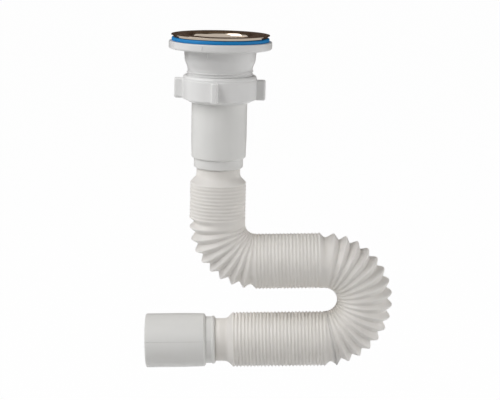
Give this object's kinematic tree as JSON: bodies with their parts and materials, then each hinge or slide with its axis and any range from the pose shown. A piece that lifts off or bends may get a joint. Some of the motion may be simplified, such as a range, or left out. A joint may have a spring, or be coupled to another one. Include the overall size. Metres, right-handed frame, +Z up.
{
  "type": "corrugated basin trap",
  "caption": "Basin waste with strainer, gasket and coupling nut, a bellows hose folded in an S and a plain outlet sleeve.",
  "frame": {"origin": "on the waste's axis at the top of its gasket, where the underside of a basin sits", "axes": "+Z up along the waste's axis, +X from the upright towards the hose's return bend, -Y to the viewer"},
  "size_m": [0.1823, 0.0738, 0.2486],
  "materials": {
    "stainless_steel": "pressed and polished",
    "blue_rubber": "moulded",
    "white_plastic": "injection moulded polypropylene",
    "sleeve_plastic": "injection moulded polypropylene",
    "hose_plastic": "blow moulded polypropylene",
    "grey_rubber": "moulded",
    "brass": "turned"
  },
  "bodies": {
    "waste": {"waste_body": "white_plastic", "flange_gasket": "blue_rubber", "threaded_insert": "brass"},
    "strainer": {"strainer": "stainless_steel"},
    "screw": {"strainer_screw": "stainless_steel"},
    "washer": {"tail_washer": "grey_rubber"},
    "nut": {"coupling_nut": "white_plastic"},
    "tail": {"inlet_sleeve": "sleeve_plastic"},
    "hose": {"corrugated_hose": "hose_plastic"},
    "outlet": {"outlet_sleeve": "sleeve_plastic"}
  },
  "joints": [
    {"name": "strainer_lift", "type": "slide", "parent": "waste", "child": "strainer", "axis": [0, 0, 1], "range_m": [0, 0.012]},
    {"name": "screw_turn", "type": "hinge", "parent": "strainer", "child": "screw", "pos_m": [0, 0, -0.0085], "axis": [0, 0, 1], "range_deg": [0, 4320]},
    {"name": "washer_drop", "type": "slide", "parent": "waste", "child": "washer", "axis": [0, 0, 1], "range_m": [-0.00924, 0]},
    {"name": "nut_turn", "type": "hinge", "parent": "washer", "child": "nut", "pos_m": [0, 0, -0.037], "axis": [0, 0, 1], "range_deg": [-1440, 0]},
    {"name": "tail_swivel", "type": "hinge", "parent": "washer", "child": "tail", "pos_m": [0, 0, -0.043], "axis": [0, 0, 1], "continuous": true},
    {"name": "hose_tilt", "type": "hinge", "parent": "tail", "child": "hose", "pos_m": [0, 0, -0.1185], "axis": [0, 1, 0], "range_deg": [-20, 20], "deforming": ["corrugated_hose"]},
    {"name": "outlet_slide", "type": "slide", "parent": "hose", "child": "outlet", "axis": [-0.9994, 0, -0.0349], "range_m": [0, 0.09], "deforming": ["corrugated_hose"]}
  ],
  "couplings": [
    {"joint": "screw_turn", "follows": "strainer_lift", "rad_per_m": 6283.2},
    {"joint": "nut_turn", "follows": "washer_drop", "rad_per_m": 2721.2}
  ]
}
